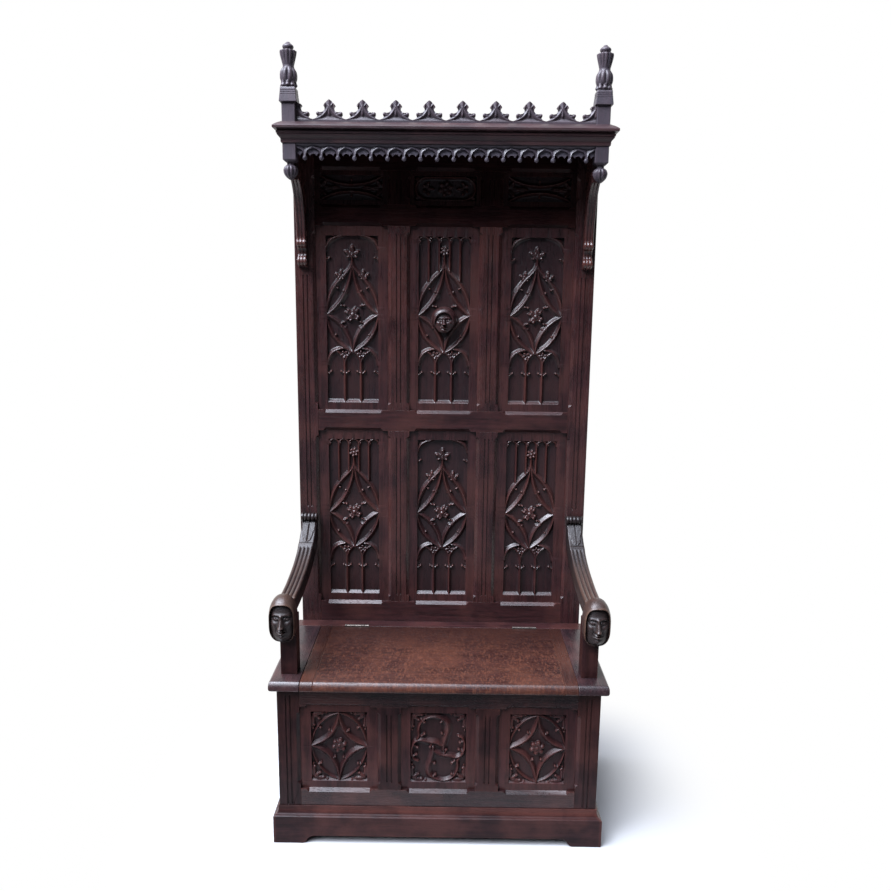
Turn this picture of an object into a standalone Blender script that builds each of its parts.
"""Chest bench of the Gothic Revival, in oak: a panelled chest whose lid is the seat, a tall panelled back,
arms that end in heads, and a canopy with a crest, a fringe and two finials.

Metres, Z up, the front towards -Y. The origin is on the floor in the middle of the bench."""

import math

import bmesh
import bpy
from mathutils import Matrix, Vector

# Fit
CLEARANCE = 0.0003              # gap left between pieces that touch
LID_GAP = 0.001                 # working gap round the lid

# Chest and seat
CHEST_WIDTH = 0.870
CHEST_DEPTH = 0.434             # from the back of the bench to the face of the chest
SEAT_HEIGHT = 0.480
SEAT_THICKNESS = 0.025
SEAT_FRONT_OVERHANG = 0.027
SEAT_SIDE_OVERHANG = 0.017
SEAT_NOSE = 0.008               # rounding of the seat's outer edges
HINGE_RAIL_DEPTH = 0.045
LID_WIDTH = 0.740
LID_CLEAT_WIDTH = 0.036
LID_TONGUE = 0.012              # length of the tongue on the ends of the lid board
CHEST_RAIL_FOOT = 0.060         # lower edge of the chest's bottom rail over the floor
CHEST_BOTTOM_RAIL_HEIGHT = 0.095
CHEST_TOP_RAIL_HEIGHT = 0.055
CARCASS_FOOT = 0.030            # lower edge of the side and back boards over the floor
SIDE_THICKNESS = 0.018
SIDE_SETBACK = 0.008
CHEST_FLOOR_HEIGHT = 0.070
CHEST_FLOOR_THICKNESS = 0.016

# Plinth
PLINTH_PROJECTION = 0.016
PLINTH_FACE_HEIGHT = 0.079
PLINTH_MOULDING_HEIGHT = 0.027
PLINTH_FOOT = 0.080             # length of each foot at the floor
PLINTH_ARCH_HEIGHT = 0.023
PLINTH_ARCH_SWEEP = 0.036       # length of the curve from a foot to the straight part of the cut-out

# Frames and panels
STILE_WIDTH = 0.060
STILE_THICKNESS = 0.040
RAIL_THICKNESS = 0.030
MUNTIN_WIDTH = 0.064
MUNTIN_OFFSET = 0.133           # centre line of a muntin from the middle of the bench
GROOVE_WIDTH = 0.008
GROOVE_DEPTH = 0.009
GROOVE_SETBACK = 0.014          # from the face of a frame to the tongues in its grooves
PANEL_SETBACK = 0.009
PANEL_THICKNESS = 0.018
CHAMFER = 0.009
CHAMFER_STOP = 0.013            # from the corner of an opening to the end of a chamfer
FLUTE_WIDTH = 0.004
FLUTE_DEPTH = 0.003
FLUTE_SPACING = 0.012
FLUTE_STOP = 0.022

# Tracery of the carved panels: ribs that stand in a sunk field
TRACERY_WIDTH = 0.152           # of the sunk field
TRACERY_DEPTH = 0.0095
TRACERY_SILL = 0.009            # height of the slope at the foot of the field
TRACERY_LEAST_SPACE = 0.012     # least margin beside the field
TRACERY_RIB_WIDTH = 0.019       # of a main rib at the ground
TRACERY_THIN_RIB_WIDTH = 0.013
TRACERY_RIB_INSET = 0.0005      # crown of the first rib behind the face of the panel
TRACERY_RIB_STEP = 0.00015      # how much lower each rib is than the one before, so that none are level
TRACERY_RIB_OVERRUN = 0.003     # how far a rib runs on past the end of its line
BACK_FIELD_FOOT = 0.021         # margin under the field of a panel of the back
BACK_FIELD_HEAD = 0.027         # and over it
CHEST_FIELD_FOOT = 0.018
CHEST_FIELD_HEAD = 0.019

# Tiers of the back, from the seat upwards
BOTTOM_RAIL_RISE = 0.065        # height of the bottom rail over the seat
BOTTOM_RAIL_DROP = 0.050        # how far it reaches below the seat
LOWER_PANEL_HEIGHT = 0.542
MIDDLE_RAIL_HEIGHT = 0.063
UPPER_PANEL_HEIGHT = 0.535
UPPER_RAIL_HEIGHT = 0.059
FRIEZE_PANEL_HEIGHT = 0.094
TOP_RAIL_HEIGHT = 0.047

# Hooded head on the upper middle panel
BOSS_WIDTH = 0.078
BOSS_HEIGHT = 0.085
BOSS_PROJECTION = 0.042
BOSS_RISE = 0.260               # centre of the head over the middle rail

# Arms
ARM_WIDTH = 0.046
ARM_THICKNESS = 0.044
ARM_FRONT_RISE = 0.204          # top of the arm over the seat, at the front
ARM_BACK_RISE = 0.348           # and at the back stile
ARM_SWEEP = 3.4                 # power of the curve of the arm
ARM_BOW_LENGTH = 0.6            # share of the arm's reach over which it bows out to the line of the head
ARM_ROLL_RADIUS = 0.013
ARM_ROLL_LENGTH = 0.050
ARM_TENON_WIDTH = 0.018
ARM_TENON_HEIGHT = 0.034
ARM_TENON_LENGTH = 0.014
ARM_POST_WIDTH = 0.044
ARM_POST_DEPTH = 0.044
ARM_POST_SETBACK = 0.053        # from the front of the seat to the face of the post
ARM_POST_HOUSING = 0.002        # depth to which the post is let into the arm
POST_TENON_WIDTH = 0.020
POST_TENON_LENGTH = 0.015
HEAD_WIDTH = 0.074
HEAD_HEIGHT = 0.128
HEAD_DEPTH = 0.088
HEAD_ROUNDING = 0.030
HEAD_SETBACK = 0.008            # from the front of the seat to the front of the head
HEAD_LIFT = 0.024               # top of the head over the top of the arm
HEAD_OUTSET = 0.009             # how far the head stands out sideways from the line of the post

# Canopy
CANOPY_REACH = 0.138            # from the face of the back to the face of the corner posts
CORNER_POST_SIZE = 0.036
CORNER_POST_DROP = 0.047        # how far the post hangs below the bed board
CORNER_POST_TAPER = 0.010
BED_HEIGHT = 0.022
CAP_HEIGHT = 0.032
CORNICE_OVERHANG = 0.022
BUD_WIDTH = 0.034
BUD_LENGTH = 0.046
FINIAL_SHAFT = 0.049
FINIAL_BLOCK_WIDTH = 0.047
FINIAL_BLOCK_TOP_WIDTH = 0.040
FINIAL_BLOCK_HEIGHT = 0.037
FINIAL_HEAD_WIDTH = 0.044
FINIAL_HEAD_HEIGHT = 0.115
CREST_HEIGHT = 0.058
CREST_THICKNESS = 0.016
CREST_UNITS = 9
FRINGE_THICKNESS = 0.014
FRINGE_SETBACK = 0.004
FRINGE_STEM = 0.036             # from the top of the fringe to the middle of its drops
FRINGE_STEM_WIDTH = 0.006
FRINGE_CROWN = 0.011            # board left over the crown of each arch
FRINGE_DROP_WIDTH = 0.013
FRINGE_UNITS = 18
BRACKET_WIDTH = 0.026
BRACKET_HEIGHT = 0.318
BRACKET_TENON_WIDTH = 0.010
BRACKET_TENON_HEIGHT = 0.060
BRACKET_TENON_LENGTH = 0.012

# Hinges
HINGE_INSET = 0.075             # centre of a hinge from the end of the lid board
HINGE_LENGTH = 0.074
HINGE_KNUCKLES = 5
HINGE_BARREL_RADIUS = 0.0045
HINGE_PIN_RADIUS = 0.002
HINGE_LIFT = 0.001              # pin over the top of the seat
HINGE_LEAF_THICKNESS = 0.002
HINGE_LEAF_HEIGHT = 0.013

# Finish of each kind of piece: colour, roughness, metallic
DARK_OAK = ((0.055, 0.030, 0.022, 1.0), 0.38, 0.0)
PANEL_OAK = ((0.050, 0.027, 0.020, 1.0), 0.40, 0.0)
SEAT_OAK = ((0.095, 0.047, 0.028, 1.0), 0.34, 0.0)
INSIDE_OAK = ((0.120, 0.075, 0.045, 1.0), 0.60, 0.0)
STEEL = ((0.420, 0.410, 0.400, 1.0), 0.35, 1.0)

# Levels and planes that follow from the sizes
HALF_WIDTH = CHEST_WIDTH / 2
INNER = HALF_WIDTH - STILE_WIDTH
BACK_Y = (CHEST_DEPTH + SEAT_FRONT_OVERHANG) / 2
SEAT_FRONT_Y = -BACK_Y
CHEST_Y = BACK_Y - CHEST_DEPTH
FRAME_Y = BACK_Y - STILE_THICKNESS
HINGE_Y = FRAME_Y - HINGE_RAIL_DEPTH
SEAT_UNDER_Z = SEAT_HEIGHT - SEAT_THICKNESS
CHEST_OPENING = (CHEST_RAIL_FOOT + CHEST_BOTTOM_RAIL_HEIGHT, SEAT_UNDER_Z - CHEST_TOP_RAIL_HEIGHT)
LOWER_Z = SEAT_HEIGHT + BOTTOM_RAIL_RISE
MIDDLE_Z = LOWER_Z + LOWER_PANEL_HEIGHT
UPPER_Z = MIDDLE_Z + MIDDLE_RAIL_HEIGHT
UPPER_RAIL_Z = UPPER_Z + UPPER_PANEL_HEIGHT
FRIEZE_Z = UPPER_RAIL_Z + UPPER_RAIL_HEIGHT
TOP_RAIL_Z = FRIEZE_Z + FRIEZE_PANEL_HEIGHT
BED_Z = TOP_RAIL_Z + TOP_RAIL_HEIGHT
CAP_Z = BED_Z + BED_HEIGHT
CAP_TOP_Z = CAP_Z + CAP_HEIGHT
BOTTOM_RAIL_Z = SEAT_HEIGHT - BOTTOM_RAIL_DROP
BACK_OPENINGS = ((LOWER_Z, MIDDLE_Z), (UPPER_Z, UPPER_RAIL_Z), (FRIEZE_Z, TOP_RAIL_Z))
MUNTIN_INNER = MUNTIN_OFFSET - MUNTIN_WIDTH / 2
MUNTIN_OUTER = MUNTIN_OFFSET + MUNTIN_WIDTH / 2
COLUMNS = (("left", -INNER, -MUNTIN_OUTER), ("centre", -MUNTIN_INNER, MUNTIN_INNER),
           ("right", MUNTIN_OUTER, INNER))
SIDES = (("left", -1), ("right", 1))

# Lines of the tracery in shares of the width and height of the field, from the middle of its lower edge.
# Only the left half is listed. Each is a run of curves with four controls, or a line between two points.
# Lines of the first group go on across the middle, where each turns at a place of its own.
BACK_ACROSS = (
    (((-0.500, 0.530), (-0.263, 0.585), (-0.059, 0.667), (0.003, 0.815)),),
    (((-0.500, 0.541), (-0.263, 0.500), (-0.053, 0.435), (-0.004, 0.322)),),
    (((-0.500, 0.548), (-0.487, 0.439), (-0.296, 0.350), (0.005, 0.306)),),
    (((-0.500, 0.556), (-0.487, 0.646), (-0.355, 0.707), (-0.171, 0.766)),
     ((-0.171, 0.766), (-0.086, 0.793), (-0.020, 0.813), (-0.003, 0.846))),
    (((-0.150, 0.243), (-0.145, 0.276), (-0.079, 0.297), (-0.006, 0.313)),))
BACK_BESIDE = (
    (((-0.500, 0.234), (-0.480, 0.293), (-0.368, 0.327), (-0.197, 0.331)),),
    (((-0.168, 0.239), (-0.171, 0.276), (-0.250, 0.305), (-0.342, 0.319)),))
MULLION = (((-0.158, 0.008), (-0.158, 0.250)),)
STEM = ((0.007, 0.832), (0.007, 0.900))
CORNER_ARCH = (((-0.500, 0.919), (-0.487, 0.965), (-0.382, 0.994), (-0.184, 1.0)),)
FLUTES = ((((-0.300, 0.732), (-0.300, 0.970)),), (((-0.100, 0.805), (-0.100, 0.970)),))
FLUTE_ARCHES = (
    (((-0.500, 0.962), (-0.490, 1.007), (-0.318, 1.007), (-0.306, 0.962)),),
    (((-0.294, 0.962), (-0.282, 1.007), (-0.118, 1.007), (-0.106, 0.962)),))
MIDDLE_ARCH = ((-0.094, 0.962), (-0.082, 1.007), (0.082, 1.007), (0.094, 0.962))
CHEST_ACROSS = (
    (((-0.500, 0.505), (-0.263, 0.612), (-0.059, 0.750), (0.003, 0.950)),),
    (((-0.500, 0.516), (-0.263, 0.408), (-0.059, 0.270), (-0.004, 0.042)),))
CHEST_RING = (
    (((-0.500, 0.488), (-0.480, 0.740), (-0.270, 0.930), (-0.003, 0.970)),),
    (((-0.500, 0.532), (-0.480, 0.270), (-0.270, 0.060), (0.005, 0.022)),))
# Half of a wheel, whose other half is the same turned round. These lines run from point to point.
WHEEL_CENTRE = 0.480
WHEEL = (((0.0, 0.480), (0.059, 0.551), (0.145, 0.652), (0.178, 0.758), (0.132, 0.859), (0.0, 0.924),
          (-0.158, 0.924), (-0.296, 0.854), (-0.342, 0.753), (-0.303, 0.662), (-0.237, 0.616)),
         ((0.005, 0.475), (-0.066, 0.520), (-0.171, 0.566), (-0.303, 0.576), (-0.434, 0.536),
          (-0.474, 0.419), (-0.441, 0.318), (-0.368, 0.283)))
ARM_X = HALF_WIDTH - STILE_WIDTH / 2
ARM_POST_Y = SEAT_FRONT_Y + ARM_POST_SETBACK
ARM_POST_BACK_Y = ARM_POST_Y + ARM_POST_DEPTH
ARM_POST_MIDDLE_Y = ARM_POST_Y + ARM_POST_DEPTH / 2
ARM_POST_TOP_Z = SEAT_HEIGHT + ARM_FRONT_RISE - ARM_THICKNESS + ARM_POST_HOUSING
CORNER_POST_Y = FRAME_Y - CANOPY_REACH
CORNER_POST_X = HALF_WIDTH - CORNER_POST_SIZE / 2
CORNER_POST_INNER = HALF_WIDTH - CORNER_POST_SIZE
CORNER_POST_MIDDLE_Y = CORNER_POST_Y + CORNER_POST_SIZE / 2
FINIAL_BLOCK_Z = CAP_TOP_Z + FINIAL_SHAFT
BRACKET_X = (ARM_X + CORNER_POST_X) / 2
BRACKET_Z = BED_Z - BRACKET_HEIGHT
HINGE_Z = SEAT_HEIGHT + HINGE_LIFT
LID_BOARD_HALF = LID_WIDTH / 2 - LID_CLEAT_WIDTH
HINGE_X = LID_BOARD_HALF - HINGE_INSET


def clear_scene():
    for old in list(bpy.data.objects):
        bpy.data.objects.remove(old, do_unlink=True)
    for old in list(bpy.data.collections):
        bpy.data.collections.remove(old)


def new_collection(name):
    made = bpy.data.collections.new(name)
    bpy.context.scene.collection.children.link(made)
    return made


def new_material(name, finish):
    colour, roughness, metallic = finish
    made = bpy.data.materials.new(name)
    made.use_nodes = True
    shader = made.node_tree.nodes["Principled BSDF"]
    shader.inputs["Base Color"].default_value = colour
    shader.inputs["Roughness"].default_value = roughness
    shader.inputs["Metallic"].default_value = metallic
    made.diffuse_color = colour
    return made


def add_part(name, bm, finish):
    """Makes a piece of the bench, with its origin in the middle of its box."""
    bm.normal_update()
    bmesh.ops.recalc_face_normals(bm, faces=bm.faces)
    corners = [vert.co for vert in bm.verts]
    low = Vector([min(co[axis] for co in corners) for axis in range(3)])
    high = Vector([max(co[axis] for co in corners) for axis in range(3)])
    middle = (low + high) / 2
    bmesh.ops.translate(bm, vec=-middle, verts=bm.verts)
    mesh = bpy.data.meshes.new(name)
    bm.to_mesh(mesh)
    bm.free()
    mesh.materials.append(new_material(name, finish))
    part = bpy.data.objects.new(name, mesh)
    part.location = middle
    PARTS.objects.link(part)
    return part


def add_helper(name, bm):
    """Makes a shape that only cuts or joins other shapes."""
    bm.normal_update()
    bmesh.ops.recalc_face_normals(bm, faces=bm.faces)
    mesh = bpy.data.meshes.new(name)
    bm.to_mesh(mesh)
    bm.free()
    helper = bpy.data.objects.new(name, mesh)
    helper.hide_render = True
    helper.display_type = "WIRE"
    CUTTERS.objects.link(helper)
    return helper


def combine(part, helper, operation, overlapping=False):
    """Cuts or joins a helper. Overlapping says that the shapes in the helper meet one another."""
    modifier = part.modifiers.new(helper.name, "BOOLEAN")
    modifier.operation = operation
    modifier.solver = "EXACT"
    modifier.use_self = overlapping
    modifier.object = helper


def around(middle, width):
    return (middle - width / 2, middle + width / 2)


def add_box(bm, xs, ys, zs):
    verts = bmesh.ops.create_cube(bm, size=1.0)["verts"]
    size = [abs(pair[1] - pair[0]) for pair in (xs, ys, zs)]
    middle = [(pair[0] + pair[1]) / 2 for pair in (xs, ys, zs)]
    bmesh.ops.scale(bm, vec=size, verts=verts)
    bmesh.ops.translate(bm, vec=middle, verts=verts)
    return verts


def box_part(name, xs, ys, zs, finish):
    bm = bmesh.new()
    add_box(bm, xs, ys, zs)
    return add_part(name, bm, finish)


def cut_boxes(part, label, boxes):
    """Cuts boxes, none of which meets another, out of a piece."""
    bm = bmesh.new()
    for xs, ys, zs in boxes:
        add_box(bm, xs, ys, zs)
    combine(part, add_helper(part.name + "_" + label, bm), "DIFFERENCE")


def join_boxes(part, label, boxes):
    bm = bmesh.new()
    for xs, ys, zs in boxes:
        add_box(bm, xs, ys, zs)
    combine(part, add_helper(part.name + "_" + label, bm), "UNION")


def add_rod(bm, radius, xs, y, z, steps):
    """A rod along X."""
    turn = Matrix.Rotation(math.pi / 2, 4, "Y")
    place = Matrix.Translation(((xs[0] + xs[1]) / 2, y, z)) @ turn
    bmesh.ops.create_cone(bm, cap_ends=True, segments=steps, radius1=radius, radius2=radius,
                          depth=abs(xs[1] - xs[0]), matrix=place)


def add_ball(bm, middle, size, steps, rings):
    place = Matrix.Translation(middle) @ Matrix.Diagonal((size[0], size[1], size[2], 1.0))
    bmesh.ops.create_uvsphere(bm, u_segments=steps, v_segments=rings, radius=0.5, matrix=place)


def outline_mesh(name, points, thickness):
    """A flat outline in local XY, filled and given a thickness along local Z."""
    curve = bpy.data.curves.new(name, "CURVE")
    curve.dimensions = "2D"
    curve.fill_mode = "NONE"
    curve.extrude = thickness / 2
    spline = curve.splines.new("POLY")
    spline.points.add(len(points) - 1)
    for point, place in zip(spline.points, points):
        point.co = (place[0], place[1], 0.0, 1.0)
    spline.use_cyclic_u = True
    holder = bpy.data.objects.new(name, curve)
    CUTTERS.objects.link(holder)
    graph = bpy.context.evaluated_depsgraph_get()
    mesh = bpy.data.meshes.new_from_object(holder.evaluated_get(graph))
    bm = bmesh.new()
    bm.from_mesh(mesh)
    bmesh.ops.remove_doubles(bm, verts=bm.verts, dist=0.00001)
    bmesh.ops.holes_fill(bm, edges=bm.edges, sides=0)
    bpy.data.objects.remove(holder, do_unlink=True)
    bpy.data.curves.remove(curve)
    bpy.data.meshes.remove(mesh)
    return bm


def outline_across(name, points, thickness, x):
    """An outline of (y, z) points, as thick as asked along X."""
    bm = outline_mesh(name, points, thickness)
    turn = Matrix(((0, 0, 1, x), (1, 0, 0, 0), (0, 1, 0, 0), (0, 0, 0, 1)))
    bmesh.ops.transform(bm, matrix=turn, verts=bm.verts)
    return bm


def outline_along(name, points, thickness, y):
    """An outline of (x, z) points, as thick as asked along Y."""
    bm = outline_mesh(name, points, thickness)
    turn = Matrix(((1, 0, 0, 0), (0, 0, -1, y), (0, 1, 0, 0), (0, 0, 0, 1)))
    bmesh.ops.transform(bm, matrix=turn, verts=bm.verts)
    return bm


def stack(levels):
    """Rectangles one above the other, each (z, low x, high x, low y, high y), joined into one solid."""
    bm = bmesh.new()
    rings = []
    for z, low_x, high_x, low_y, high_y in levels:
        corners = ((low_x, low_y), (high_x, low_y), (high_x, high_y), (low_x, high_y))
        rings.append([bm.verts.new((x, y, z)) for x, y in corners])
    for lower, upper in zip(rings, rings[1:]):
        for number in range(4):
            after = (number + 1) % 4
            bm.faces.new((lower[number], lower[after], upper[after], upper[number]))
    bm.faces.new(rings[0])
    bm.faces.new(rings[-1])
    return bm


def lathe_helper(name, profile, x, y, z, steps):
    """Turns (radius, height) points, listed from the top downwards, about an upright axis."""
    bm = bmesh.new()
    verts = [bm.verts.new((radius, 0.0, height)) for radius, height in profile]
    for upper, lower in zip(verts, verts[1:]):
        bm.edges.new((upper, lower))
    helper = add_helper(name, bm)
    helper.location = (x, y, z)
    screw = helper.modifiers.new("turn", "SCREW")
    screw.axis = "Z"
    screw.steps = steps
    screw.render_steps = steps
    screw.use_merge_vertices = True
    screw.merge_threshold = 0.00001
    return helper


def add_stop_chamfer(bm, start, end, into_a, into_b):
    """A cutter for a chamfer along one edge of a frame, with a sloping stop at each end."""
    start, end = Vector(start), Vector(end)
    along = (end - start).normalized()
    room = (end - start).length - 2 * CHAMFER_STOP
    if room < 3 * CHAMFER:
        return
    inward = (Vector(into_a) + Vector(into_b)).normalized()
    across = (Vector(into_a) - Vector(into_b)).normalized()
    for vert in bmesh.ops.create_cube(bm, size=2.0)["verts"]:
        end_sign, side, deep = vert.co
        base = start if end_sign < 0 else end
        pull = CHAMFER_STOP + (CHAMFER if deep > 0 else -CHAMFER)
        depth = CHAMFER / math.sqrt(2) if deep > 0 else -CHAMFER
        vert.co = base - along * end_sign * pull + across * side * 1.2 * CHAMFER + inward * depth


def cut_chamfers(part, edges):
    bm = bmesh.new()
    for edge in edges:
        add_stop_chamfer(bm, *edge)
    if bm.verts:
        combine(part, add_helper(part.name + "_chamfers", bm), "DIFFERENCE")
    else:
        bm.free()


def tongue_ys(front, extra):
    """Front and back of the tongues of a frame, with the clearance of a groove if that is asked for."""
    return (front + GROOVE_SETBACK - extra, front + GROOVE_SETBACK + GROOVE_WIDTH + extra)


def flute_boxes(x, front, low, high):
    ys = (front - 0.01, front + FLUTE_DEPTH)
    return [(around(x + side * FLUTE_SPACING / 2, FLUTE_WIDTH), ys, (low, high)) for side in (-1, 1)]


def shoulder_boxes(xs, zs, front):
    """What is cut away before and behind a stub tenon."""
    near, far = tongue_ys(front, 0.0)
    return [(xs, (front - 0.01, near), zs), (xs, (far, front + RAIL_THICKNESS + 0.01), zs)]


def make_stile(name, side, front, top, flutes, openings):
    inner, outer = side * INNER, side * HALF_WIDTH
    part = box_part(name, (inner, outer), (front, front + STILE_THICKNESS), (0.0, top), DARK_OAK)
    groove = (inner - side * 0.01, inner + side * GROOVE_DEPTH)
    cut_boxes(part, "groove", [(groove, tongue_ys(front, CLEARANCE), (-0.01, top + 0.01))])
    cut_boxes(part, "flutes", flute_boxes(side * ARM_X, front, flutes[0], flutes[1]))
    cut_chamfers(part, [((inner, front, low), (inner, front, high), (0, 1, 0), (side, 0, 0))
                        for low, high in openings])
    return part


def make_rail(name, low, high, front, above, below):
    """A rail between the stiles. Above and below list the openings along its edges."""
    tenon = INNER + GROOVE_DEPTH - CLEARANCE
    shoulder = INNER - CLEARANCE
    part = box_part(name, (-tenon, tenon), (front, front + RAIL_THICKNESS), (low, high), DARK_OAK)
    shoulders = []
    tall = (low - 0.01, high + 0.01)
    for side in (-1, 1):
        shoulders += shoulder_boxes((side * shoulder, side * (tenon + 0.01)), tall, front)
    cut_boxes(part, "shoulders", shoulders)
    grooves = []
    reach = (-tenon - 0.01, tenon + 0.01)
    if above:
        grooves.append((reach, tongue_ys(front, CLEARANCE), (high - GROOVE_DEPTH, high + 0.01)))
    if below:
        grooves.append((reach, tongue_ys(front, CLEARANCE), (low - 0.01, low + GROOVE_DEPTH)))
    cut_boxes(part, "grooves", grooves)
    edges = [((start, front, high), (end, front, high), (0, 1, 0), (0, 0, -1)) for start, end in above]
    edges += [((start, front, low), (end, front, low), (0, 1, 0), (0, 0, 1)) for start, end in below]
    cut_chamfers(part, edges)
    return part


def make_muntin(name, x, low, high, front):
    left, right = x - MUNTIN_WIDTH / 2, x + MUNTIN_WIDTH / 2
    ends = (low - GROOVE_DEPTH + CLEARANCE, high + GROOVE_DEPTH - CLEARANCE)
    part = box_part(name, (left, right), (front, front + RAIL_THICKNESS), ends, DARK_OAK)
    wide = (left - 0.01, right + 0.01)
    shoulders = shoulder_boxes(wide, (ends[0] - 0.01, low + CLEARANCE), front)
    shoulders += shoulder_boxes(wide, (high - CLEARANCE, ends[1] + 0.01), front)
    cut_boxes(part, "shoulders", shoulders)
    tall = (ends[0] - 0.01, ends[1] + 0.01)
    cut_boxes(part, "grooves", [((left - 0.01, left + GROOVE_DEPTH), tongue_ys(front, CLEARANCE), tall),
                                ((right - GROOVE_DEPTH, right + 0.01), tongue_ys(front, CLEARANCE), tall)])
    if high - low > 4 * FLUTE_STOP:
        cut_boxes(part, "flutes", flute_boxes(x, front, low + FLUTE_STOP, high - FLUTE_STOP))
    cut_chamfers(part, [((left, front, low), (left, front, high), (0, 1, 0), (1, 0, 0)),
                        ((right, front, low), (right, front, high), (0, 1, 0), (-1, 0, 0))])
    return part


def make_panel(name, xs, zs, front, finish):
    """A panel that fills an opening, with a tongue in the grooves round it."""
    field_y = (front + PANEL_SETBACK, front + PANEL_SETBACK + PANEL_THICKNESS)
    field_x = (xs[0] + CLEARANCE, xs[1] - CLEARANCE)
    part = box_part(name, field_x, field_y, (zs[0] + CLEARANCE, zs[1] - CLEARANCE), finish)
    reach = GROOVE_DEPTH - CLEARANCE
    tongue = ((xs[0] - reach, xs[1] + reach), tongue_ys(front, 0.0), (zs[0] - reach, zs[1] + reach))
    join_boxes(part, "tongue", [tongue])
    return part


def curve_points(corners, steps):
    """Points along a curve with four controls, or the two ends of a straight line."""
    if len(corners) == 2:
        return list(corners)
    points = []
    for step in range(steps + 1):
        t = step / steps
        weights = ((1 - t) ** 3, 3 * t * (1 - t) ** 2, 3 * t * t * (1 - t), t ** 3)
        points.append(tuple(sum(weight * corner[axis] for weight, corner in zip(weights, corners))
                            for axis in (0, 1)))
    return points


def run_points(curves, steps):
    points = curve_points(curves[0], steps)
    for corners in curves[1:]:
        points += curve_points(corners, steps)[1:]
    return points


def ribs_across(lines, width, steps):
    """Lines that go on across the middle into their mirror images, each with the width of its rib."""
    found = []
    for curves in lines:
        points = run_points(curves, steps)
        found.append((points + [(-x, z) for x, z in reversed(points[:-1])], width))
    return found


def ribs_beside(lines, width, steps):
    """Lines to the left of the middle and their mirror images, each with the width of its rib."""
    found = []
    for curves in lines:
        points = run_points(curves, steps)
        found += [(points, width), ([(-x, z) for x, z in points], width)]
    return found


def back_tracery(leafy):
    """Three lights under a star in an ogee, with corner arches on a leafy panel and flutes on the others."""
    thin = TRACERY_THIN_RIB_WIDTH
    found = ribs_across(BACK_ACROSS, TRACERY_RIB_WIDTH, 5) + ribs_beside(BACK_BESIDE, TRACERY_RIB_WIDTH, 4)
    found += ribs_beside([MULLION], thin, 1) + [(STEM, thin)]
    if leafy:
        return found + ribs_beside([CORNER_ARCH], TRACERY_RIB_WIDTH, 4)
    return found + ribs_beside(FLUTES + FLUTE_ARCHES, thin, 4) + [(curve_points(MIDDLE_ARCH, 4), thin)]


def chest_tracery(wheel):
    if wheel:
        turned = [[(-x, 2 * WHEEL_CENTRE - z) for x, z in line] for line in WHEEL]
        return [(line, TRACERY_RIB_WIDTH) for line in list(WHEEL) + turned]
    found = ribs_across(CHEST_ACROSS, TRACERY_RIB_WIDTH, 5)
    return found + ribs_across(CHEST_RING, TRACERY_THIN_RIB_WIDTH, 5)


def add_rib(bm, points, width, ground, crown):
    """A rib with a three-sided section along a line of (x, z) points."""
    points = [Vector(point) for point in points]
    points[0] -= (points[1] - points[0]).normalized() * TRACERY_RIB_OVERRUN
    points[-1] += (points[-1] - points[-2]).normalized() * TRACERY_RIB_OVERRUN
    rings = []
    for number, point in enumerate(points):
        before, after = points[max(number - 1, 0)], points[min(number + 1, len(points) - 1)]
        along = (after - before).normalized()
        side = Vector((-along.y, along.x)) * width / 2
        rings.append([bm.verts.new((point.x + side.x, ground, point.y + side.y)),
                      bm.verts.new((point.x, crown, point.y)),
                      bm.verts.new((point.x - side.x, ground, point.y - side.y))])
    for start, end in zip(rings, rings[1:]):
        for number in range(3):
            after = (number + 1) % 3
            bm.faces.new((start[number], start[after], end[after], end[number]))
    bm.faces.new(rings[0])
    bm.faces.new(rings[-1])


def carve_panel(part, xs, zs, front, space, lines):
    """Sinks a field with a sloping sill into the face of a panel, and leaves ribs standing in it."""
    face = front + PANEL_SETBACK
    ground = face + TRACERY_DEPTH
    wide = min(TRACERY_WIDTH, xs[1] - xs[0] - 2 * TRACERY_LEAST_SPACE)
    middle = (xs[0] + xs[1]) / 2
    low, high = zs[0] + space[0], zs[1] - space[1]
    outline = [(face - 0.01, low), (face, low), (ground, low + TRACERY_SILL), (ground, high),
               (face - 0.01, high)]
    field = outline_across("field", outline, wide, middle)
    combine(part, add_helper(part.name + "_field", field), "DIFFERENCE")
    ribs = bmesh.new()
    for number, (points, width) in enumerate(lines):
        places = [(middle + x * wide, low + z * (high - low)) for x, z in points]
        crown = face + TRACERY_RIB_INSET + number * TRACERY_RIB_STEP
        add_rib(ribs, places, width * wide / TRACERY_WIDTH, ground + 2 * CLEARANCE, crown)
    bmesh.ops.triangulate(ribs, faces=ribs.faces[:])
    combine(part, add_helper(part.name + "_ribs", ribs), "UNION", overlapping=True)


def arm_top(y):
    """Height of the top of the arm, which sweeps down from the back stile to the front post."""
    share = min(max((FRAME_Y - y) / (FRAME_Y - ARM_POST_Y), 0.0), 1.0)
    return SEAT_HEIGHT + ARM_FRONT_RISE + (ARM_BACK_RISE - ARM_FRONT_RISE) * (1.0 - share) ** ARM_SWEEP


def arm_under(y):
    share = min(max((FRAME_Y - y) / (FRAME_Y - ARM_POST_Y), 0.0), 1.0)
    fall = (ARM_BACK_RISE - ARM_FRONT_RISE) * ARM_SWEEP / (FRAME_Y - ARM_POST_Y)
    slope = fall * (1.0 - share) ** (ARM_SWEEP - 1.0)
    return arm_top(y) - ARM_THICKNESS * math.sqrt(1.0 + slope * slope)


def arm_bow(y):
    """Share of the head's outset that the arm has reached on its way forward."""
    share = min(max((FRAME_Y - y) / (FRAME_Y - ARM_POST_Y) / ARM_BOW_LENGTH, 0.0), 1.0)
    return share * share * (3.0 - 2.0 * share)


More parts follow.
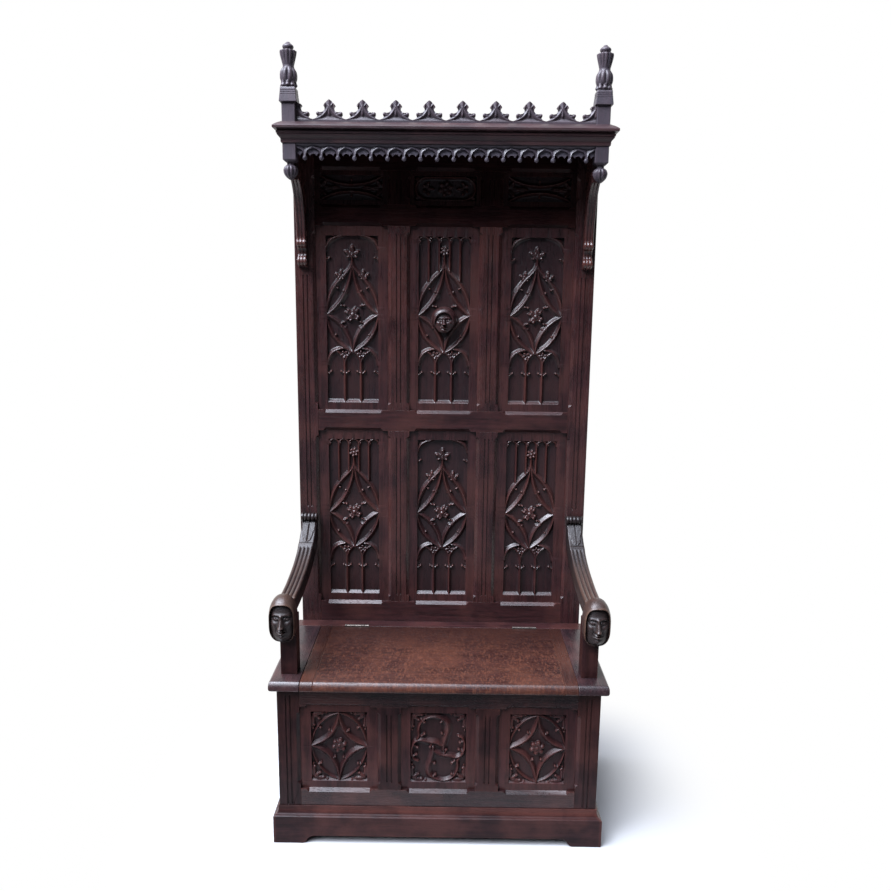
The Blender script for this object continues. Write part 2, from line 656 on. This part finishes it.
def build_chest():
    top = SEAT_UNDER_Z - CLEARANCE
    low, high = CHEST_OPENING
    board_outer = HALF_WIDTH - SIDE_SETBACK
    board_inner = board_outer - SIDE_THICKNESS
    groove_x = around((board_outer + board_inner) / 2, GROOVE_WIDTH)
    front_y = CHEST_Y + STILE_THICKNESS
    for label, side in SIDES:
        flutes = (CHEST_RAIL_FOOT + CHEST_BOTTOM_RAIL_HEIGHT / 2, top - FLUTE_STOP)
        stile = make_stile("chest_stile_" + label, side, CHEST_Y, top, flutes, [CHEST_OPENING])
        slot = (side * (groove_x[0] - CLEARANCE), side * (groove_x[1] + CLEARANCE))
        cut_boxes(stile, "side_groove", [(slot, (front_y - GROOVE_DEPTH, front_y + 0.01),
                                          (CARCASS_FOOT - CLEARANCE, top + 0.01))])
        board = box_part("chest_side_" + label, (side * board_inner, side * board_outer),
                         (front_y + CLEARANCE, FRAME_Y - CLEARANCE), (CARCASS_FOOT, top), DARK_OAK)
        reach = GROOVE_DEPTH - CLEARANCE
        join_boxes(board, "tongue", [((side * groove_x[0], side * groove_x[1]),
                                      (front_y - reach, FRAME_Y + reach), (CARCASS_FOOT, top))])
        make_muntin("chest_muntin_" + label, side * MUNTIN_OFFSET, low, high, CHEST_Y)
    columns = [(start, end) for _, start, end in COLUMNS]
    make_rail("chest_bottom_rail", CHEST_RAIL_FOOT, low, CHEST_Y, columns, [])
    make_rail("chest_top_rail", high, top, CHEST_Y, [], columns)
    for label, start, end in COLUMNS:
        panel = make_panel("chest_panel_" + label, (start, end), CHEST_OPENING, CHEST_Y, PANEL_OAK)
        carve_panel(panel, (start, end), CHEST_OPENING, CHEST_Y, (CHEST_FIELD_FOOT, CHEST_FIELD_HEAD),
                    chest_tracery(wheel=label == "centre"))
    back_y = FRAME_Y + PANEL_SETBACK
    floor_x = board_inner - CLEARANCE
    floor_z = (CHEST_FLOOR_HEIGHT, CHEST_FLOOR_HEIGHT + CHEST_FLOOR_THICKNESS)
    floor = box_part("chest_floor", (-floor_x, floor_x),
                     (CHEST_Y + RAIL_THICKNESS + CLEARANCE, back_y - CLEARANCE), floor_z, INSIDE_OAK)
    notches = []
    for side in (-1, 1):
        corner_x = (side * (INNER - CLEARANCE), side * (HALF_WIDTH + 0.01))
        notches.append((corner_x, (CHEST_Y, front_y + CLEARANCE), (0.0, SEAT_UNDER_Z)))
        notches.append((corner_x, (FRAME_Y - CLEARANCE, BACK_Y), (0.0, SEAT_UNDER_Z)))
    cut_boxes(floor, "notches", notches)
    back = box_part("chest_back_board", (-INNER + CLEARANCE, INNER - CLEARANCE),
                    (back_y, back_y + PANEL_THICKNESS), (CARCASS_FOOT, BOTTOM_RAIL_Z - CLEARANCE),
                    INSIDE_OAK)
    reach = GROOVE_DEPTH - CLEARANCE
    join_boxes(back, "tongue", [((-INNER - reach, INNER + reach), tongue_ys(FRAME_Y, 0.0),
                                 (CARCASS_FOOT, BOTTOM_RAIL_Z + reach))])


def plinth_profile():
    """Points (outward, height) round a plinth board: a plain face under a cove."""
    low, rise, out = PLINTH_FACE_HEIGHT, PLINTH_MOULDING_HEIGHT, PLINTH_PROJECTION
    points = [(CLEARANCE, 0.0), (out, 0.0), (out, low), (0.80 * out, low + 0.10 * rise)]
    for step in range(1, 6):
        turn = math.radians(18 * step)
        points.append((0.80 * out - 0.62 * out * math.sin(turn),
                       low + 0.10 * rise + 0.70 * rise * (1.0 - math.cos(turn))))
    return points + [(0.18 * out, low + rise), (CLEARANCE, low + rise)]


def arch_points(low, high, sign):
    """The cut-out of a plinth board, from low to high along its length."""
    rise, sweep = PLINTH_ARCH_HEIGHT, PLINTH_ARCH_SWEEP
    curve = [(0.0, 0.0), (0.15, 0.10), (0.30, 0.36), (0.42, 0.66), (0.58, 0.86), (0.80, 0.97), (1.0, 1.0)]
    points = [(low, -0.01)] + [(low + along * sweep, up * rise) for along, up in curve]
    points += [(high - along * sweep, up * rise) for along, up in reversed(curve)] + [(high, -0.01)]
    return [(sign * along, up) for along, up in points]


def build_plinth():
    mitre_gap = 1.5 * CLEARANCE
    reach = HALF_WIDTH + PLINTH_PROJECTION
    front = outline_across("plinth_front", [(CHEST_Y - out, up) for out, up in plinth_profile()], 2.0, 0.0)
    for vert in front.verts:
        out = CHEST_Y - vert.co.y
        vert.co.x = math.copysign(HALF_WIDTH + out - mitre_gap, vert.co.x)
    board = add_part("plinth_front", front, DARK_OAK)
    cutter = outline_along("arch", arch_points(-reach + PLINTH_FOOT, reach - PLINTH_FOOT, 1),
                           4 * PLINTH_PROJECTION, CHEST_Y)
    combine(board, add_helper("plinth_front_arch", cutter), "DIFFERENCE")
    for label, side in SIDES:
        outline = [(side * (HALF_WIDTH + out), up) for out, up in plinth_profile()]
        bm = outline_along("plinth_" + label, outline, 2.0, 0.0)
        for vert in bm.verts:
            out = abs(vert.co.x) - HALF_WIDTH
            vert.co.y = BACK_Y if vert.co.y > 0 else CHEST_Y - out
        board = add_part("plinth_" + label, bm, DARK_OAK)
        points = arch_points(CHEST_Y - PLINTH_PROJECTION + PLINTH_FOOT, BACK_Y - PLINTH_FOOT, 1)
        cutter = outline_across("arch", points, 4 * PLINTH_PROJECTION, side * HALF_WIDTH)
        combine(board, add_helper("plinth_" + label + "_arch", cutter), "DIFFERENCE")


def round_edges(bm, chosen):
    edges = [edge for edge in bm.edges if chosen((edge.verts[0].co + edge.verts[1].co) / 2, edge)]
    bmesh.ops.bevel(bm, geom=edges, offset=SEAT_NOSE, segments=3, profile=0.5, affect="EDGES")


def level_edge(edge):
    return abs(edge.verts[0].co.z - edge.verts[1].co.z) < 1e-6


def build_seat():
    outer = HALF_WIDTH + SEAT_SIDE_OVERHANG
    zs = (SEAT_UNDER_Z, SEAT_HEIGHT)
    rail_y = (HINGE_Y + LID_GAP / 2, FRAME_Y - CLEARANCE)
    lid_y = (SEAT_FRONT_Y, HINGE_Y - LID_GAP / 2)
    lid_half = LID_WIDTH / 2 - LID_GAP
    board_half = LID_BOARD_HALF

    bm = bmesh.new()
    add_box(bm, (-outer, outer), rail_y, zs)
    round_edges(bm, lambda middle, edge: level_edge(edge) and abs(abs(middle.x) - outer) < 1e-6)
    rail = add_part("hinge_rail", bm, SEAT_OAK)

    tongue_z = (SEAT_UNDER_Z + SEAT_THICKNESS / 3, SEAT_HEIGHT - SEAT_THICKNESS / 3)
    tongue_y = (lid_y[0] + 2 * SEAT_THICKNESS, lid_y[1] - 2 * SEAT_THICKNESS)
    lid_parts = []
    for label, side in SIDES:
        bm = bmesh.new()
        add_box(bm, (side * LID_WIDTH / 2, side * outer), (SEAT_FRONT_Y, rail_y[0] - CLEARANCE), zs)
        round_edges(bm, lambda middle, edge: level_edge(edge) and (
            abs(abs(middle.x) - outer) < 1e-6 or abs(middle.y - SEAT_FRONT_Y) < 1e-6))
        end = add_part("seat_end_" + label, bm, SEAT_OAK)
        mortise = POST_TENON_WIDTH + 2 * CLEARANCE
        cut_boxes(end, "mortise", [(around(side * ARM_X, mortise), around(ARM_POST_MIDDLE_Y, mortise),
                                    (SEAT_HEIGHT - POST_TENON_LENGTH - CLEARANCE, SEAT_HEIGHT + 0.01))])
        bm = bmesh.new()
        add_box(bm, (side * (board_half + CLEARANCE), side * lid_half), lid_y, zs)
        round_edges(bm, lambda middle, edge: level_edge(edge) and abs(middle.y - SEAT_FRONT_Y) < 1e-6)
        cleat = add_part("lid_cleat_" + label, bm, SEAT_OAK)
        slot = (side * (board_half - 0.01), side * (board_half + LID_TONGUE + CLEARANCE))
        cut_boxes(cleat, "groove", [(slot, (tongue_y[0] - CLEARANCE, tongue_y[1] + CLEARANCE),
                                     (tongue_z[0] - CLEARANCE, tongue_z[1] + CLEARANCE))])
        lid_parts.append(cleat)

    bm = bmesh.new()
    add_box(bm, (-board_half, board_half), lid_y, zs)
    round_edges(bm, lambda middle, edge: level_edge(edge) and abs(middle.y - SEAT_FRONT_Y) < 1e-6)
    lid = add_part("lid_board", bm, SEAT_OAK)
    join_boxes(lid, "tongues", [((side * (board_half - LID_TONGUE), side * (board_half + LID_TONGUE)),
                                 tongue_y, tongue_z) for side in (-1, 1)])
    lid_parts.append(lid)
    cut_hinge_seats(rail, lid, rail_y[0], lid_y[1])
    return lid_parts


def leaf_zs():
    top = HINGE_Z - HINGE_BARREL_RADIUS - 2 * CLEARANCE
    return (top - HINGE_LEAF_HEIGHT, top)


def cut_hinge_seats(rail, lid, rail_front, lid_back):
    """Lets the barrels and the leaves of the hinges into the meeting edges of the rail and the lid."""
    half = HINGE_LENGTH / 2 + CLEARANCE
    barrel = HINGE_BARREL_RADIUS + CLEARANCE
    leaf = HINGE_LEAF_THICKNESS + CLEARANCE
    for part, edge, away in ((rail, rail_front, 1), (lid, lid_back, -1)):
        barrels, leaves = [], []
        for side in (-1, 1):
            xs = (side * HINGE_X - half, side * HINGE_X + half)
            barrels.append((xs, (edge - away * 0.02, HINGE_Y + away * barrel),
                            (HINGE_Z - barrel, SEAT_HEIGHT + 0.02)))
            leaves.append((xs, (edge - away * 0.01, edge + away * leaf),
                           (leaf_zs()[0] - CLEARANCE, SEAT_HEIGHT + 0.01)))
        cut_boxes(part, "barrels", barrels)
        cut_boxes(part, "leaves", leaves)


def build_hinge(label, side):
    """The rail leaf carries the pin and the odd knuckles, and the lid leaf the even ones."""
    start = side * HINGE_X - HINGE_LENGTH / 2
    pitch = HINGE_LENGTH / HINGE_KNUCKLES
    low, top = leaf_zs()
    web_top = HINGE_Z - (HINGE_PIN_RADIUS + HINGE_BARREL_RADIUS) / 2
    leaves = []
    for kind, first, away in (("rail", 0, 1), ("lid", 1, -1)):
        edge = HINGE_Y + away * LID_GAP / 2
        ys = (edge, edge + away * HINGE_LEAF_THICKNESS)
        name = "hinge_" + kind + "_leaf_" + label
        leaf = box_part(name, (start, start + HINGE_LENGTH), ys, (low, top), STEEL)
        webs, rods = [], bmesh.new()
        for number in range(first, HINGE_KNUCKLES, 2):
            xs = (start + number * pitch + CLEARANCE / 2, start + (number + 1) * pitch - CLEARANCE / 2)
            inset = 0.1 * pitch
            webs.append(((xs[0] + inset, xs[1] - inset), ys, (low + HINGE_LEAF_HEIGHT / 2, web_top)))
            add_rod(rods, HINGE_BARREL_RADIUS, xs, HINGE_Y, HINGE_Z, 12)
        join_boxes(leaf, "webs", webs)
        combine(leaf, add_helper(leaf.name + "_knuckles", rods), "UNION")
        pin = bmesh.new()
        ends = (start + pitch / 2, start + HINGE_LENGTH - pitch / 2)
        if kind == "rail":
            add_rod(pin, HINGE_PIN_RADIUS, ends, HINGE_Y, HINGE_Z, 12)
            combine(leaf, add_helper(leaf.name + "_pin", pin), "UNION")
        else:
            add_rod(pin, HINGE_PIN_RADIUS + CLEARANCE, ends, HINGE_Y, HINGE_Z, 12)
            combine(leaf, add_helper(leaf.name + "_bore", pin), "DIFFERENCE")
            leaves.append(leaf)
    return leaves


def add_boss_seat(panel):
    """A flat pad in the sunk field, level with the face of the panel, that carries the hooded head."""
    face = FRAME_Y + PANEL_SETBACK
    deep = TRACERY_DEPTH + 2 * CLEARANCE
    points = []
    for step in range(24):
        turn = 2 * math.pi * step / 24
        points.append((0.49 * BOSS_WIDTH * math.cos(turn),
                       UPPER_Z + BOSS_RISE + 0.49 * BOSS_HEIGHT * math.sin(turn)))
    pad = outline_along("boss_seat", points, deep, face + deep / 2)
    combine(panel, add_helper(panel.name + "_boss_seat", pad), "UNION")


def build_back():
    stile_top = BED_Z - CLEARANCE
    slot_x = HALF_WIDTH - SIDE_SETBACK - SIDE_THICKNESS / 2
    flutes = (SEAT_HEIGHT + ARM_BACK_RISE + FLUTE_STOP, BRACKET_Z - FLUTE_STOP)
    spare = 2 * CLEARANCE
    arm_z = (arm_top(FRAME_Y) + arm_under(FRAME_Y)) / 2
    bracket_z = BRACKET_Z + 0.6 * BRACKET_HEIGHT
    for label, side in SIDES:
        stile = make_stile("back_stile_" + label, side, FRAME_Y, stile_top, flutes, BACK_OPENINGS)
        cut_boxes(stile, "side_groove", [(around(side * slot_x, GROOVE_WIDTH + spare),
                                          (FRAME_Y - 0.01, FRAME_Y + GROOVE_DEPTH),
                                          (CARCASS_FOOT - CLEARANCE, SEAT_UNDER_Z))])
        cut_boxes(stile, "mortises", [
            (around(side * ARM_X, ARM_TENON_WIDTH + spare),
             (FRAME_Y - 0.01, FRAME_Y + ARM_TENON_LENGTH + CLEARANCE),
             around(arm_z, ARM_TENON_HEIGHT + spare)),
            (around(side * BRACKET_X, BRACKET_TENON_WIDTH + spare),
             (FRAME_Y - 0.01, FRAME_Y + BRACKET_TENON_LENGTH + CLEARANCE),
             around(bracket_z, BRACKET_TENON_HEIGHT + spare))])
    columns = [(start, end) for _, start, end in COLUMNS]
    bottom = make_rail("back_bottom_rail", BOTTOM_RAIL_Z, LOWER_Z, FRAME_Y, columns, [])
    cut_boxes(bottom, "board_groove", [((-HALF_WIDTH, HALF_WIDTH), tongue_ys(FRAME_Y, CLEARANCE),
                                        (BOTTOM_RAIL_Z - 0.01, BOTTOM_RAIL_Z + GROOVE_DEPTH))])
    make_rail("back_middle_rail", MIDDLE_Z, UPPER_Z, FRAME_Y, columns, columns)
    make_rail("back_upper_rail", UPPER_RAIL_Z, FRIEZE_Z, FRAME_Y, columns, columns)
    make_rail("back_top_rail", TOP_RAIL_Z, stile_top, FRAME_Y, [], columns)
    for tier, (low, high) in zip(("lower", "upper", "frieze"), BACK_OPENINGS):
        for label, side in SIDES:
            make_muntin(tier + "_muntin_" + label, side * MUNTIN_OFFSET, low, high, FRAME_Y)
        for label, start, end in COLUMNS:
            panel = make_panel(tier + "_panel_" + label, (start, end), (low, high), FRAME_Y, PANEL_OAK)
            if tier != "frieze":
                carve_panel(panel, (start, end), (low, high), FRAME_Y, (BACK_FIELD_FOOT, BACK_FIELD_HEAD),
                            back_tracery(leafy=(tier == "upper") == (label != "centre")))
            if (tier, label) == ("upper", "centre"):
                add_boss_seat(panel)
    bm = bmesh.new()
    face_y = FRAME_Y + PANEL_SETBACK - CLEARANCE
    middle = Vector((0.0, face_y, UPPER_Z + BOSS_RISE))
    add_ball(bm, middle, (BOSS_WIDTH, 2 * BOSS_PROJECTION, BOSS_HEIGHT), 16, 12)
    cut = bmesh.ops.bisect_plane(bm, geom=list(bm.verts) + list(bm.edges) + list(bm.faces), dist=1e-6,
                                 plane_co=middle, plane_no=(0, 1, 0), clear_outer=True)
    rim = [item for item in cut["geom_cut"] if isinstance(item, bmesh.types.BMEdge)]
    bmesh.ops.contextual_create(bm, geom=rim)
    add_part("hooded_head_boss", bm, PANEL_OAK)


def build_arm(label, side):
    x = side * ARM_X
    tenon_x, tenon_y = around(x, POST_TENON_WIDTH), around(ARM_POST_MIDDLE_Y, POST_TENON_WIDTH)
    post = box_part("arm_post_" + label, around(x, ARM_POST_WIDTH), (ARM_POST_Y, ARM_POST_BACK_Y),
                    (SEAT_HEIGHT + CLEARANCE, ARM_POST_TOP_Z), DARK_OAK)
    join_boxes(post, "tenons", [(tenon_x, tenon_y, (SEAT_HEIGHT - POST_TENON_LENGTH,
                                                    ARM_POST_TOP_Z + POST_TENON_LENGTH))])

    back = FRAME_Y - CLEARANCE
    ys = [back + (ARM_POST_Y - back) * step / 20 for step in range(21)]
    points = [(y, arm_top(y)) for y in ys] + [(y, arm_under(y)) for y in reversed(ys)]
    bm = outline_across("armrest", points, ARM_WIDTH, x)
    for vert in bm.verts:
        vert.co.x += side * HEAD_OUTSET * arm_bow(vert.co.y)
    bmesh.ops.triangulate(bm, faces=[face for face in bm.faces if len(face.verts) > 4])
    arm = add_part("armrest_" + label, bm, DARK_OAK)
    roll = bmesh.new()
    add_rod(roll, ARM_ROLL_RADIUS, around(x, ARM_ROLL_LENGTH), back - ARM_ROLL_RADIUS,
            arm_top(back) - 0.6 * ARM_ROLL_RADIUS, 20)
    combine(arm, add_helper(arm.name + "_roll", roll), "UNION")
    head = bmesh.new()
    head_y = SEAT_FRONT_Y + HEAD_SETBACK + HEAD_DEPTH / 2
    head_z = SEAT_HEIGHT + ARM_FRONT_RISE + HEAD_LIFT - HEAD_HEIGHT / 2
    add_box(head, around(x + side * HEAD_OUTSET, HEAD_WIDTH), around(head_y, HEAD_DEPTH),
            around(head_z, HEAD_HEIGHT))
    bmesh.ops.bevel(head, geom=head.edges[:], offset=HEAD_ROUNDING, segments=4, profile=0.5, affect="EDGES",
                    clamp_overlap=True)
    combine(arm, add_helper(arm.name + "_head", head), "UNION")
    wide = 2 * (HEAD_WIDTH + HEAD_OUTSET + ARM_WIDTH)
    cut_boxes(arm, "post_seat", [(around(x, wide), (ARM_POST_Y - CLEARANCE, ARM_POST_BACK_Y + CLEARANCE),
                                  (SEAT_HEIGHT, ARM_POST_TOP_Z + CLEARANCE))])
    mortise = POST_TENON_WIDTH + 2 * CLEARANCE
    cut_boxes(arm, "post_mortise", [(around(x, mortise), around(ARM_POST_MIDDLE_Y, mortise),
                                     (SEAT_HEIGHT, ARM_POST_TOP_Z + POST_TENON_LENGTH + CLEARANCE))])
    tenon_z = (arm_top(FRAME_Y) + arm_under(FRAME_Y)) / 2
    join_boxes(arm, "tenon", [(around(x, ARM_TENON_WIDTH),
                               (FRAME_Y - ARM_TENON_LENGTH / 2, FRAME_Y + ARM_TENON_LENGTH),
                               around(tenon_z, ARM_TENON_HEIGHT))])


def slab_levels(rows):
    """Levels of a cornice board whose edge stands out from the corner posts, but not at the back."""
    return [(z, -HALF_WIDTH - out, HALF_WIDTH + out, CORNER_POST_Y - out, BACK_Y) for z, out in rows]


def build_cornice():
    bed = [(0.0, 0.20), (0.30, 0.26), (0.55, 0.36), (0.80, 0.56), (0.86, 0.60), (1.0, 0.56)]
    rows = [(BED_Z + up * (BED_HEIGHT - CLEARANCE), out * CORNICE_OVERHANG) for up, out in bed]
    bed_board = add_part("cornice_bed", stack(slab_levels(rows)), DARK_OAK)
    cap = [(0.0, 0.56), (0.10, 0.90), (0.25, 1.0), (0.45, 1.0), (0.60, 0.90), (0.66, 0.62), (0.80, 0.34),
           (1.0, 0.20)]
    rows = [(CAP_Z + up * CAP_HEIGHT, out * CORNICE_OVERHANG) for up, out in cap]
    cap_board = add_part("cornice_cap", stack(slab_levels(rows)), DARK_OAK)
    half = CORNER_POST_SIZE / 2 + CLEARANCE
    holes = [((side * CORNER_POST_X - half, side * CORNER_POST_X + half),
              (CORNER_POST_MIDDLE_Y - half, CORNER_POST_MIDDLE_Y + half), (BED_Z - 0.01, CAP_TOP_Z + 0.01))
             for side in (-1, 1)]
    for board in (bed_board, cap_board):
        cut_boxes(board, "post_holes", holes)


def build_corner_post(label, side):
    x, y, half = side * CORNER_POST_X, CORNER_POST_MIDDLE_Y, CORNER_POST_SIZE / 2
    foot_z = BED_Z - CORNER_POST_DROP
    block_top = FINIAL_BLOCK_Z + FINIAL_BLOCK_HEIGHT
    rows = [(foot_z, 0.30 * CORNER_POST_SIZE), (foot_z + CORNER_POST_TAPER, half), (FINIAL_BLOCK_Z, half),
            (FINIAL_BLOCK_Z, FINIAL_BLOCK_WIDTH / 2), (block_top, FINIAL_BLOCK_TOP_WIDTH / 2)]
    levels = [(z, x - out, x + out, y - out, y + out) for z, out in rows]
    post = add_part("corner_post_" + label, stack(levels), DARK_OAK)
    wide, tall = FINIAL_HEAD_WIDTH / 2, FINIAL_HEAD_HEIGHT
    shape = [(0.0, 1.0), (0.26, 0.97), (0.61, 0.90), (0.61, 0.87), (0.41, 0.83), (0.43, 0.81), (0.98, 0.80),
             (0.93, 0.72), (0.72, 0.60), (0.59, 0.51), (0.59, 0.44), (0.82, 0.39), (1.0, 0.28), (0.96, 0.15),
             (0.77, 0.06), (0.70, 0.0), (0.68, -0.06), (0.0, -0.06)]
    finial = lathe_helper(post.name + "_finial", [(out * wide, up * tall) for out, up in shape],
                          x, y, block_top, 16)
    combine(post, finial, "UNION")
    wide, tall = BUD_WIDTH / 2, BUD_LENGTH
    shape = [(0.0, 0.12), (0.50, 0.12), (0.50, -0.08), (0.52, -0.18), (0.85, -0.28), (1.0, -0.48),
             (0.82, -0.74), (0.40, -0.93), (0.0, -1.0)]
    bud = lathe_helper(post.name + "_bud", [(out * wide, up * tall) for out, up in shape], x, y, foot_z, 16)
    combine(post, bud, "UNION")


def build_crest():
    """A board with a row of leaves. Half leaves lie against the posts, under the finial blocks."""
    block = CORNER_POST_X - FINIAL_BLOCK_WIDTH / 2 - CLEARANCE
    end = CORNER_POST_INNER - CLEARANCE
    pitch = 2 * CORNER_POST_INNER / CREST_UNITS
    base = CAP_TOP_Z + CLEARANCE
    half_leaf = [(0.0, 1.0), (0.06, 0.95), (0.16, 0.79), (0.18, 0.75), (0.14, 0.68), (0.14, 0.58),
                 (0.20, 0.47), (0.27, 0.44), (0.34, 0.47), (0.39, 0.44), (0.39, 0.36), (0.36, 0.29),
                 (0.40, 0.20), (0.45, 0.16), (0.50, 0.15)]
    leaf = [(-along, up) for along, up in reversed(half_leaf)] + half_leaf[1:]
    under_block = min(base + CREST_HEIGHT, FINIAL_BLOCK_Z - CLEARANCE)
    points = [(-end, base), (-end, under_block)]
    for number in range(CREST_UNITS + 1):
        middle = (number - CREST_UNITS / 2) * pitch
        for along, up in leaf[1:]:
            x, z = middle + along * pitch, base + up * CREST_HEIGHT
            if abs(x) < end:
                points.append((x, min(z, under_block) if abs(x) > block else z))
    points += [(end, under_block), (end, base)]
    add_part("crest", outline_along("crest", points, CREST_THICKNESS, CORNER_POST_MIDDLE_Y), DARK_OAK)


def build_fringe():
    end = CORNER_POST_INNER - CLEARANCE
    top = BED_Z - CLEARANCE
    pitch = 2 * CORNER_POST_INNER / FRINGE_UNITS
    stem = FRINGE_STEM_WIDTH / 2
    radius = pitch / 2 - stem
    middle_y = CORNER_POST_Y + FRINGE_SETBACK + FRINGE_THICKNESS / 2
    points = [(-end, top), (-end, top - FRINGE_CROWN)]
    drops = bmesh.new()
    for number in range(FRINGE_UNITS):
        middle = (number + 0.5) * pitch - CORNER_POST_INNER
        if number:
            points.append((middle - pitch / 2, top - FRINGE_CROWN))
        fall = FRINGE_STEM - FRINGE_CROWN
        arch = [(0.45, 0.06), (0.76, 0.20), (0.94, 0.40), (1.0, 0.62)]
        left = [(middle - pitch / 2 + out * radius, top - FRINGE_CROWN - down * fall) for out, down in arch]
        foot = top - FRINGE_STEM + 0.15 * FRINGE_DROP_WIDTH
        points += left + [(middle - stem, foot), (middle + stem, foot)]
        points += [(2 * middle - px, pz) for px, pz in reversed(left)]
        add_ball(drops, (middle, middle_y, top - FRINGE_STEM), [FRINGE_DROP_WIDTH] * 3, 8, 7)
    points += [(end, top - FRINGE_CROWN), (end, top)]
    fringe = add_part("fringe", outline_along("fringe", points, FRINGE_THICKNESS, middle_y), DARK_OAK)
    combine(fringe, add_helper("fringe_drops", drops), "UNION")


def build_bracket(label, side):
    back = FRAME_Y - CLEARANCE
    reach = back - (CORNER_POST_Y + CORNER_POST_SIZE + CLEARANCE)
    top = BED_Z - CLEARANCE - BRACKET_Z
    shape = [(0.0, 0.0), (0.09, 0.004), (0.18, 0.022), (0.22, 0.048), (0.19, 0.080), (0.12, 0.105),
             (0.11, 0.140), (0.16, 0.168), (0.25, 0.182), (0.29, 0.210), (0.26, 0.240), (0.25, 0.275),
             (0.28, 0.35), (0.35, 0.44), (0.45, 0.53), (0.58, 0.61), (0.74, 0.675), (0.90, 0.715),
             (1.0, 0.725), (1.0, 1.0), (0.0, 1.0)]
    points = [(back - out * reach, BRACKET_Z + up * top) for out, up in shape]
    x = side * BRACKET_X
    bracket = add_part("bracket_" + label, outline_across("bracket", points, BRACKET_WIDTH, x), DARK_OAK)
    join_boxes(bracket, "tenon", [(around(x, BRACKET_TENON_WIDTH),
                                   (FRAME_Y - BRACKET_TENON_LENGTH / 2, FRAME_Y + BRACKET_TENON_LENGTH),
                                   around(BRACKET_Z + 0.6 * BRACKET_HEIGHT, BRACKET_TENON_HEIGHT))])


def hang_lid(lid_parts):
    """Puts the lid on an empty that lies on the line of the hinge pins."""
    axis = bpy.data.objects.new("lid_hinge_axis", None)
    axis.location = (0.0, HINGE_Y, HINGE_Z)
    axis.empty_display_size = 0.05
    PARTS.objects.link(axis)
    for part in lid_parts:
        part.parent = axis
        part.matrix_parent_inverse = Matrix.Translation(axis.location).inverted()


clear_scene()
PARTS = new_collection("chest_bench")
CUTTERS = new_collection("chest_bench_cutters")
CUTTERS.hide_render = True
build_chest()
build_plinth()
build_back()
moving = build_seat()
for label, side in SIDES:
    moving += build_hinge(label, side)
    build_arm(label, side)
    build_corner_post(label, side)
    build_bracket(label, side)
build_cornice()
build_crest()
build_fringe()
hang_lid(moving)
